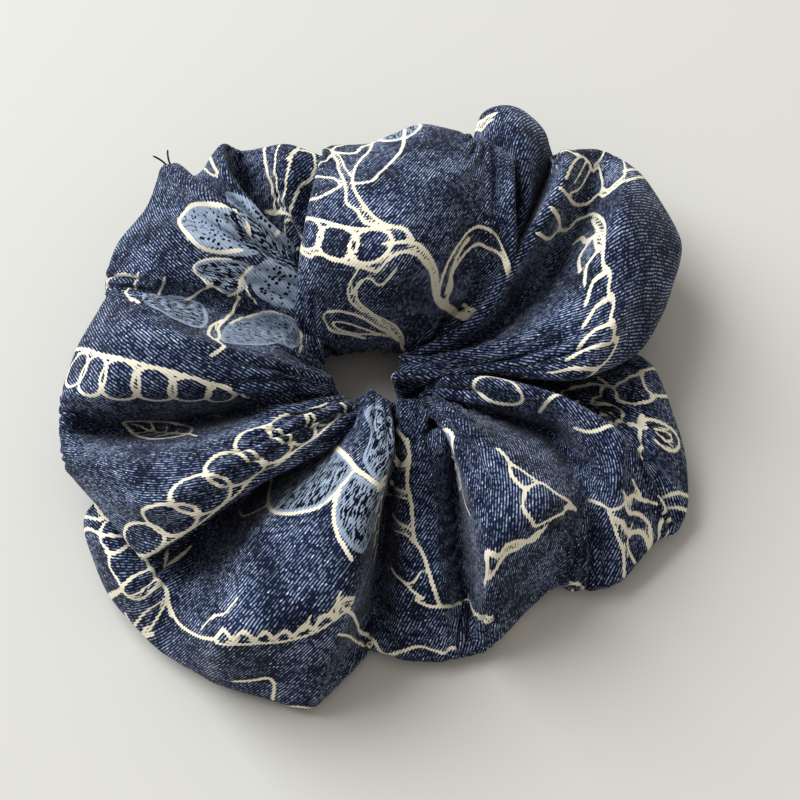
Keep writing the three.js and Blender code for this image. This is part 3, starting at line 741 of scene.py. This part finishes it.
def cover_mesh(points, cloth, material):
    """The tube of cloth, with its flat coordinates as the UV map and the print as attributes."""
    n, m = points.shape[:2]
    obj = grid_mesh("cover", points, material)
    mesh = obj.data
    corner_u = np.array([0, 0, 1, 1])
    corner_v = np.array([0, 1, 1, 0])
    i, j = np.meshgrid(np.arange(n), np.arange(m), indexing="ij")
    u = (i.reshape(-1, 1) + corner_u) * cloth.step[0]
    v = (j.reshape(-1, 1) + corner_v) * cloth.step[1]
    uv = mesh.uv_layers.new(name="cloth")
    uv.data.foreach_set("uv", np.stack([u, v], axis=2).astype(np.float32).ravel())
    store(mesh, "line_side", cloth.side)
    store(mesh, "line_near", cloth.near)
    store(mesh, "line_width", cloth.width)
    store(mesh, "petal", cloth.petal)
    store(mesh, "spotted", cloth.spotted)
    return obj


# ------------------------------------------------------------------ elastic and threads

SEAM_ALONG = 578.5          # where the strip's two ends are sewn together, mm along it
SEAM_ACROSS = 107.0         # the lengthways seam, mm across it
RING_CENTRE = (0.63, 2.8)
LAP_ANGLE = 136             # the elastic's lap, degrees round the ring
HALF_LAP = 15.5


def outward(points):
    """Unit normals of a periodic grid of points, pointing out of the tube."""
    ahead = np.roll(points, -1, axis=0) - np.roll(points, 1, axis=0)
    over = np.roll(points, -1, axis=1) - np.roll(points, 1, axis=1)
    normal = np.cross(ahead, over)
    return normal / (np.linalg.norm(normal, axis=2, keepdims=True) + 1e-9)


def crease_seams(points):
    """Draws the cloth in along its two seams, and lets it stand up a little beside them."""
    n, m = points.shape[:2]
    along = np.abs(np.arange(n) * STRIP_LENGTH / n - SEAM_ALONG)[:, None]
    over = np.abs(np.arange(m) * TUBE_GIRTH / m - SEAM_ACROSS)[None, :]
    depth = 0.0
    for distance in (along, over):
        depth = depth - 0.55 * np.exp(-(distance / 0.7) ** 2) + 0.22 * np.exp(-((distance - 1.9) / 0.9) ** 2)
    depth = np.broadcast_to(depth, (n, m))
    result = points + outward(points) * depth[:, :, None]
    result[:, :, 2] = np.maximum(result[:, :, 2], 0.3)
    return result


def tubes(name, paths, radius, material, sides=7):
    """One mesh of thin round tubes, one along each path of points in millimetres."""
    verts, faces = [], []
    for path in paths:
        path = np.asarray(path, float)
        way = np.gradient(path, axis=0)
        way /= np.linalg.norm(way, axis=1, keepdims=True) + 1e-9
        helper = np.array([0.31, 0.17, 0.94]) if abs(way[0][2]) < 0.8 else np.array([0.9, 0.1, 0.2])
        side = np.cross(way, helper)
        side /= np.linalg.norm(side, axis=1, keepdims=True) + 1e-9
        up = np.cross(side, way)
        first = len(verts)
        for k in range(len(path)):
            thick = radius * (0.55 if k in (0, len(path) - 1) else 1.0)
            for turn in range(sides):
                angle = 2 * math.pi * turn / sides
                verts.append(path[k] + thick * (math.cos(angle) * side[k] + math.sin(angle) * up[k]))
        for k in range(len(path) - 1):
            for turn in range(sides):
                a, b = first + k * sides + turn, first + k * sides + (turn + 1) % sides
                faces.append((a, b, b + sides, a + sides))
        faces.append(tuple(first + turn for turn in reversed(range(sides))))
        faces.append(tuple(first + (len(path) - 1) * sides + turn for turn in range(sides)))
    mesh = bpy.data.meshes.new(name)
    mesh.from_pydata((np.array(verts) * MM).tolist(), [], faces)
    mesh.polygons.foreach_set("use_smooth", np.ones(len(faces), bool))
    mesh.materials.append(material)
    obj = bpy.data.objects.new(name, mesh)
    bpy.context.scene.collection.objects.link(obj)
    return obj


def stitches(line, normals, length, gap, lift):
    """Short paths that lie on a closed line of surface points, one for each stitch."""
    closed = np.concatenate([line, line[:1]])
    steps = np.linalg.norm(np.diff(closed, axis=0), axis=1)
    reach = np.concatenate([[0], np.cumsum(steps)])
    count = int(reach[-1] // (length + gap))
    paths = []
    for k in range(count):
        at = k * reach[-1] / count + np.linspace(0, length, 5)
        place = np.stack([np.interp(at, reach, closed[:, axis]) for axis in range(3)], axis=1)
        facing = np.stack([np.interp(at, reach[:-1], normals[:, axis]) for axis in range(3)], axis=1)
        rise = lift * np.array([-0.6, 0.8, 1.0, 0.8, -0.6])
        paths.append(place + facing * rise[:, None])
    return paths


def elastic_band(material):
    """Flat braided elastic, 6 by 1.2 mm, in one loop whose ends overlap at the lap."""
    ribs = 8
    across = np.linspace(-1, 1, ribs * 4 + 1)
    bulge = 0.07 * np.cos(across * math.pi * ribs)
    edge = (1 - np.abs(across) ** 8) ** 0.5
    outer = np.stack([0.6 + (0.46 + bulge) * edge, across * 3.0], axis=1)
    inner = np.stack([0.6 - (0.46 + bulge) * edge, across * 3.0], axis=1)[::-1]
    profile = np.concatenate([outer, inner[1:-1]])
    turns = np.radians(np.linspace(LAP_ANGLE - HALF_LAP, LAP_ANGLE + HALF_LAP + 360, 640))
    climb = np.clip((np.degrees(turns) - (LAP_ANGLE - HALF_LAP + 360 - 22)) / 16, 0, 1)
    climb = climb * climb * (3 - 2 * climb)
    radius = 18.5 + 1.5 * climb
    points = np.empty((len(turns), len(profile), 3))
    points[:, :, 0] = RING_CENTRE[0] + (radius[:, None] + profile[:, 0]) * np.cos(turns)[:, None]
    points[:, :, 1] = RING_CENTRE[1] + (radius[:, None] + profile[:, 0]) * np.sin(turns)[:, None]
    points[:, :, 2] = 8.0 + profile[:, 1] * (1 + 0.012 * np.sin(turns * 90))[:, None]
    n, m = points.shape[:2]
    index = np.arange(n * m).reshape(n, m)
    over = np.roll(index, -1, axis=1)
    faces = np.stack([index[:-1], index[1:], over[1:], over[:-1]], axis=2).reshape(-1, 4).tolist()
    faces.append(index[0].tolist())
    faces.append(index[-1][::-1].tolist())
    mesh = bpy.data.meshes.new("elastic")
    mesh.from_pydata((points.reshape(-1, 3) * MM).tolist(), [], faces)
    mesh.polygons.foreach_set("use_smooth", np.ones(len(faces), bool))
    store(mesh, "band_along", np.repeat(turns * 19, m))
    store(mesh, "band_across", np.tile(profile[:, 1], n))
    mesh.materials.append(material)
    mesh.update()
    obj = bpy.data.objects.new("elastic", mesh)
    bpy.context.scene.collection.objects.link(obj)
    return obj


def lap_zigzag(radius):
    """The zigzag that sews the elastic's lap, at one distance from the ring's centre."""
    legs = 8
    share = np.linspace(0, 1, legs * 5 + 1)
    turn = np.radians(LAP_ANGLE + (share * 2 - 1) * HALF_LAP * 0.8)
    height = 8.0 + 2.4 * (2 / math.pi) * np.arcsin(np.sin(share * math.pi * legs))
    return np.stack([RING_CENTRE[0] + radius * np.cos(turn), RING_CENTRE[1] + radius * np.sin(turn), height], axis=1)


def seam_tip(points):
    """The outermost top point of the closing seam, and the way out of the cloth there."""
    n, m = points.shape[:2]
    row = points[round(SEAM_ALONG / STRIP_LENGTH * n) % n]
    reach = np.hypot(row[:, 0] - RING_CENTRE[0], row[:, 1] - RING_CENTRE[1]) + 0.15 * row[:, 2]
    tip = row[int(np.argmax(reach))]
    way = np.array([tip[0] - RING_CENTRE[0], tip[1] - RING_CENTRE[1], 0.0])
    return tip, way / np.linalg.norm(way)


def loose_ends(points):
    """Two short thread ends that stick up out of the seam's tip and curl away from each other."""
    tip, way = seam_tip(points)
    aside = np.array([-way[1], way[0], 0.0])
    paths = []
    for length, lean, place in ((5.2, 1.5, 0.2), (4.2, -1.3, -0.5)):
        share = np.linspace(-0.25, 1, 14)[:, None]
        rise = np.array([0, 0, 1.0]) * share * length * 0.62
        paths.append(tip + aside * (place + lean * share * np.abs(share)) + way * share * length * 0.55 + rise)
    return paths


def elastic_webbing():
    """Off-white braided elastic: fine crossing yarns, with a shallow groove between the ribs, and painted shade
    darkening the low parts of the weave.
    """
    s = Shader("elastic_webbing")
    along, across = s.stored("band_along"), s.stored("band_across")
    one_way = s.math("SINE", s.math("MULTIPLY", s.math("ADD", along, across), 9.0))
    other_way = s.math("SINE", s.math("MULTIPLY", s.math("SUBTRACT", along, across), 9.0))
    weave = s.math("MAXIMUM", one_way, other_way)
    rib = s.math("COSINE", s.math("MULTIPLY", across, 2 * math.pi * 8 / 6))
    height = s.math("ADD", s.math("MULTIPLY", weave, 0.4), s.math("MULTIPLY", rib, 0.6))
    dirt = s.noise(s.vector(along, across), 0.8)
    # painted shade: the colour goes darker where the weave and rib height is low, in the grooves; the noise is the
    # band's own uneven tone
    colour = s.mix(s.step(height, -0.8, 0.5), rgb(186, 180, 168), s.mix(dirt, rgb(228, 223, 212), rgb(240, 237, 229)))
    return s.finish(colour, 0.85, height, 0.5, 0.00015)


def sewing_thread():
    """Dark navy spun thread: two plies twisted together, a little hairy, with painted shade between the plies."""
    s = Shader("sewing_thread")
    place = s.add("ShaderNodeTexCoord").outputs["Object"]
    ply = s.add("ShaderNodeTexWave", {"bands_direction": "DIAGONAL"}, Vector=place, Scale=900.0, Distortion=1.5).outputs["Fac"]
    fibre = s.noise(place, 4000.0)
    # painted shade: darker between the twisted plies, where the ply height is low; the fibre noise is the thread's own
    # uneven tone
    colour = s.mix(s.math("MULTIPLY", ply, fibre), rgb(18, 24, 44), rgb(58, 70, 104))
    return s.finish(colour, 0.8, ply, 0.5, 0.0001)


ELASTIC_RADIUS = 19.8       # middle of the band
ELASTIC_LOW, ELASTIC_HIGH = 5.0, 11.0
CLOTH_GAP = 0.9


class Links:
    """Cloth threads between grid points a given step apart, in batches that share no point."""

    def __init__(self, shape, step, rest, stretch, squeeze):
        n, m = shape
        i, j = np.meshgrid(np.arange(n), np.arange(m), indexing="ij")
        here = i * m + j
        there = ((i + step[0]) % n) * m + (j + step[1]) % m
        turn = (i // step[0]) % 2 if step[0] else (j // step[1]) % 2
        self.batches = [(here[turn == t], there[turn == t]) for t in (0, 1)]
        self.rest, self.stretch, self.squeeze = rest, stretch, squeeze

    def pull(self, x):
        for a, b in self.batches:
            way = x[b] - x[a]
            length = np.sqrt(np.einsum("ij,ij->i", way, way)) + 1e-9
            excess = length - self.rest
            give = np.where(excess > 0, self.stretch, self.squeeze)
            way *= (0.5 * give * excess / length)[:, None]
            x[a] += way
            x[b] -= way


def close_pairs(x, shape, reach, skip=4):
    """Pairs of points nearer than reach that aren't neighbours in the cloth."""
    n, m = shape
    low = x.min(axis=0) - reach
    cell = np.floor((x - low) / reach).astype(np.int64)
    size = cell.max(axis=0) + 3
    key = (cell[:, 0] * size[1] + cell[:, 1]) * size[2] + cell[:, 2]
    order = np.argsort(key, kind="stable")
    ranked = key[order]
    pairs = []
    offsets = [(dx * size[1] + dy) * size[2] + dz for dx in (-1, 0, 1) for dy in (-1, 0, 1) for dz in (-1, 0, 1)]
    for offset in offsets:
        if offset < 0:
            continue
        first = np.searchsorted(ranked, key + offset, "left")
        last = np.searchsorted(ranked, key + offset, "right")
        count = last - first
        a = np.repeat(np.arange(len(x)), count)
        start = np.repeat(first - np.concatenate([[0], np.cumsum(count)[:-1]]), count)
        b = order[start + np.arange(len(a))]
        keep = a < b if offset == 0 else np.ones(len(a), bool)
        a, b = a[keep], b[keep]
        du = np.abs(a // m - b // m)
        dv = np.abs(a % m - b % m)
        far = (np.minimum(du, n - du) > skip) | (np.minimum(dv, m - dv) > skip)
        a, b = a[far], b[far]
        near = ((x[a] - x[b]) ** 2).sum(axis=1) < reach ** 2
        pairs.append((a[near], b[near]))
    return np.concatenate([p[0] for p in pairs]), np.concatenate([p[1] for p in pairs])


def settle(points, strip_length, rounds=260, hold=(0.3, 0.16), verbose=True):
    """Lets the lofted tube become cloth of one flat size, kept near its first shape."""
    n, m = points.shape[:2]
    du, dv = strip_length / n, TUBE_GIRTH / m
    slant = math.hypot(du, dv)
    links = [
        Links((n, m), (1, 0), du, 1.0, 0.35), Links((n, m), (0, 1), dv, 1.0, 0.6),
        Links((n, m), (1, 1), slant, 0.35, 0.15), Links((n, m), (1, -1), slant, 0.35, 0.15),
        Links((n, m), (2, 0), 2 * du, 0.0, 0.08), Links((n, m), (0, 2), 2 * dv, 0.0, 0.08),
        Links((n, m), (4, 0), 4 * du, 0.0, 0.02), Links((n, m), (0, 4), 4 * dv, 0.0, 0.02),
    ]
    x = points.reshape(-1, 3).copy()
    target = x.copy()
    across = np.tile(np.arange(m) / m, n)
    top = (across > 0.03) & (across < 0.5)
    under = across > 0.6
    inner = (across < 0.05) | (across > 0.95)
    before = x.copy()
    pair_a = pair_b = np.zeros(0, int)
    for step in range(rounds):
        share = step / rounds
        velocity = (x - before) * 0.9
        before = x.copy()
        x += velocity * 0.6
        x[:, 2] -= 0.004
        x += (target - x) * (hold[0] * (1 - share) + hold[1] * share)
        for link in links:
            link.pull(x)
        if step % 6 == 0:
            pair_a, pair_b = close_pairs(x, (n, m), 1.8)
        way = x[pair_b] - x[pair_a]
        length = np.sqrt((way ** 2).sum(axis=1)) + 1e-9
        push = np.where(length < CLOTH_GAP, 0.5 * (CLOTH_GAP - length) / length, 0)[:, None] * way * 0.6
        np.add.at(x, pair_b, push)
        np.add.at(x, pair_a, -push)
        off = x[:, :2] - np.array(HOLE_MIDDLE)
        radius = np.hypot(off[:, 0], off[:, 1])
        beside = np.clip(1 - ((radius - ELASTIC_RADIUS) / 3.2) ** 2, 0, None) ** 0.5
        over = ELASTIC_HIGH - 2 + 3.2 * beside
        x[:, 2] = np.where(top & (beside > 0), np.maximum(x[:, 2], over), x[:, 2])
        x[:, 2] = np.where(under & (beside > 0), np.minimum(x[:, 2], ELASTIC_LOW - 0.6), x[:, 2])
        shrink = np.where(inner & (radius > 16.5), 16.5 / np.maximum(radius, 1e-6), 1.0)
        x[:, :2] = np.array(HOLE_MIDDLE) + off * shrink[:, None]
        x[:, 2] = np.maximum(x[:, 2], 0.35)
    if verbose:
        g = x.reshape(n, m, 3)
        lu = np.linalg.norm(np.roll(g, -1, 0) - g, axis=2) / du
        lv = np.linalg.norm(np.roll(g, -1, 1) - g, axis=2) / dv
        print("u strain", np.percentile(lu, [1, 10, 50, 90, 99]).round(2), "v strain", np.percentile(lv, [1, 10, 50, 90, 99]).round(2), "pairs", len(pair_a))
    return x.reshape(n, m, 3)

shape = settle(loft(384, 84), STRIP_LENGTH, 260)
shape = crease_seams(finer(shape, 3))
cloth = PrintedCloth(shape.shape[:2], STRIP_LENGTH, TUBE_GIRTH)
for paint in (print_hidden, print_back_middle, print_back_right, print_right_trim, print_right_low,
              print_front_right, print_front_middle, print_front_left, print_left_low, print_left_chain,
              print_left_upper_chain, print_petals, print_back_left):
    paint(cloth)
cover = cover_mesh(shape, cloth, printed_twill())
thickness = cover.modifiers.new("thickness", "SOLIDIFY")
thickness.thickness = 0.35 * MM
thickness.offset = -1

way_out = outward(shape)
ring_step = round(SEAM_ALONG / STRIP_LENGTH * shape.shape[0])
across_step = round(SEAM_ACROSS / TUBE_GIRTH * shape.shape[1])
thread = sewing_thread()
elastic = elastic_band(elastic_webbing())
lap_needle = tubes("elastic_lap_needle", [lap_zigzag(21.6)], 0.25, thread)
lap_bobbin = tubes("elastic_lap_bobbin", [lap_zigzag(18.1)], 0.25, thread)
long_seam = tubes("long_seam_stitches", stitches(shape[:, across_step], way_out[:, across_step], 1.7, 1.1, 0.15),
                  0.14, thread)
closing_seam = tubes("closing_seam_stitches", stitches(shape[ring_step], way_out[ring_step], 1.7, 1.1, 0.15),
                     0.14, thread)
thread_ends = [tubes("thread_end_%d" % (k + 1), [path], 0.2, thread) for k, path in enumerate(loose_ends(shape))]

# ------------------------------------------------------------------ camera, floor, light

target = Vector((3.7, -5.0, 12.0)) * MM
distance = 300 * MM
elevation = math.radians(62)
camera_data = bpy.data.cameras.new("camera")
camera = bpy.data.objects.new("camera", camera_data)
bpy.context.scene.collection.objects.link(camera)
camera_data.lens = 68.3
camera_data.sensor_width = 36
camera_data.clip_start = 0.01
camera.location = target + distance * Vector((0, -math.cos(elevation), math.sin(elevation)))
camera.rotation_euler = (math.pi / 2 - elevation, 0, 0)
bpy.context.scene.camera = camera

floor_mesh = bpy.data.meshes.new("floor")
floor_mesh.from_pydata([(-2, -2, 0), (2, -2, 0), (2, 2, 0), (-2, 2, 0)], [], [(0, 1, 2, 3)])
floor = bpy.data.objects.new("floor", floor_mesh)
bpy.context.scene.collection.objects.link(floor)
floor_material = bpy.data.materials.new("floor")
floor_material.use_nodes = True
floor_material.node_tree.nodes["Principled BSDF"].inputs["Base Color"].default_value = (0.65, 0.645, 0.625, 1)
floor_material.node_tree.nodes["Principled BSDF"].inputs["Roughness"].default_value = 0.7
floor_mesh.materials.append(floor_material)


def area_light(name, place, size, power, colour):
    data = bpy.data.lights.new(name, "AREA")
    data.size = size
    data.energy = power
    data.color = colour
    light = bpy.data.objects.new(name, data)
    bpy.context.scene.collection.objects.link(light)
    light.location = place
    light.rotation_euler = (-Vector(place)).to_track_quat("-Z", "Y").to_euler()
    return light


area_light("window", (-1.15, 0.80, 1.22), 1.6, 39, (0.955, 0.985, 1.0))
world = bpy.data.worlds.new("world")
bpy.context.scene.world = world
world.use_nodes = True
world.node_tree.nodes["Background"].inputs["Color"].default_value = (1.0, 0.95, 0.87, 1)
world.node_tree.nodes["Background"].inputs["Strength"].default_value = 0.42

bpy.context.scene.view_settings.view_transform = "Standard"
bpy.context.scene.view_settings.look = "Medium High Contrast"

# ------------------------------------------------------------------ bodies

standing_for = [
    (cover, "printed_twill", ["cover_left_upper", "cover_left_lower", "cover_right"]),
    (elastic, "elastic_webbing", ["elastic_left_upper", "elastic_left_lower", "elastic_right"]),
    (lap_needle, "sewing_thread", ["elastic_lap_needle_thread"]),
    (lap_bobbin, "sewing_thread", ["elastic_lap_bobbin_thread"]),
    (long_seam, "sewing_thread",
     ["long_seam_thread_left_upper", "long_seam_thread_left_lower", "long_seam_thread_right"]),
    (closing_seam, "sewing_thread", ["closing_seam_thread"]),
    (thread_ends[0], "sewing_thread", ["thread_tail_1"]),
    (thread_ends[1], "sewing_thread", ["thread_tail_2"]),
]
for piece, finish, nodes in standing_for:
    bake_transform(piece)
    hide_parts(*nodes)
